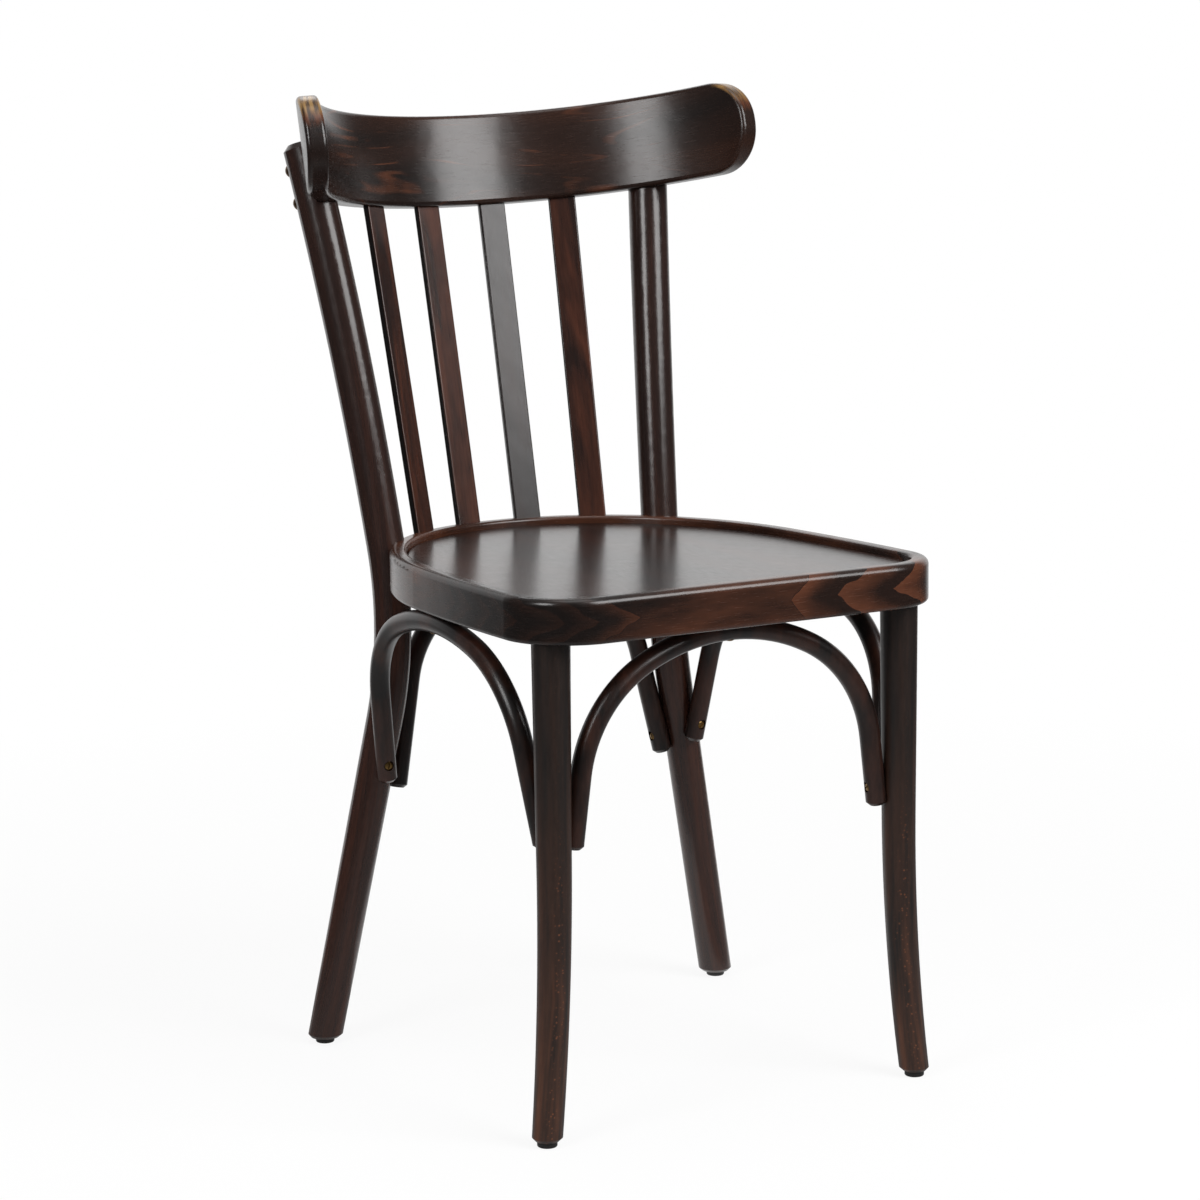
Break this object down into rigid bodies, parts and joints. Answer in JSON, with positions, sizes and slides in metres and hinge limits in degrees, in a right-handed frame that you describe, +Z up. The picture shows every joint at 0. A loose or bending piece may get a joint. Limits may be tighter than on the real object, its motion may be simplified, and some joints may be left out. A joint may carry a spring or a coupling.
{
  "type": "bentwood chair",
  "caption": "Bentwood bistro chair with a panel seat in a bent ring, a curved crest rail on flat slats, splayed round legs and arched braces.",
  "frame": {"origin": "on the floor, under the middle of the chair's overall box", "axes": "+Z up, +Y towards the back, +X towards the sitter's left"},
  "size_m": [0.46, 0.5334, 0.8575],
  "materials": {
    "stained_beech": "semi-gloss dark brown stain and lacquer",
    "stained_plywood": "semi-gloss dark brown stain and lacquer",
    "screw_brass": "dull",
    "bolt_steel": "bronzed",
    "glide_plastic": "matt"
  },
  "bodies": {
    "root": {"seat_ring": "stained_beech", "crest_rail": "stained_beech", "front_leg_left": "stained_beech", "front_leg_right": "stained_beech", "back_post_left": "stained_beech", "back_post_right": "stained_beech", "outer_slat_left": "stained_beech", "outer_slat_right": "stained_beech", "inner_slat_left": "stained_beech", "inner_slat_right": "stained_beech", "front_arch": "stained_beech", "back_arch": "stained_beech", "side_arch_left": "stained_beech", "side_arch_right": "stained_beech", "seat_panel": "stained_plywood", "arch_end_screws": "screw_brass", "arch_crown_screws": "screw_brass", "crest_bolts": "bolt_steel", "post_bolts": "bolt_steel", "post_bolt_washers": "bolt_steel", "front_glide_left": "glide_plastic", "front_glide_right": "glide_plastic", "back_glide_left": "glide_plastic", "back_glide_right": "glide_plastic"}
  },
  "joints": []
}
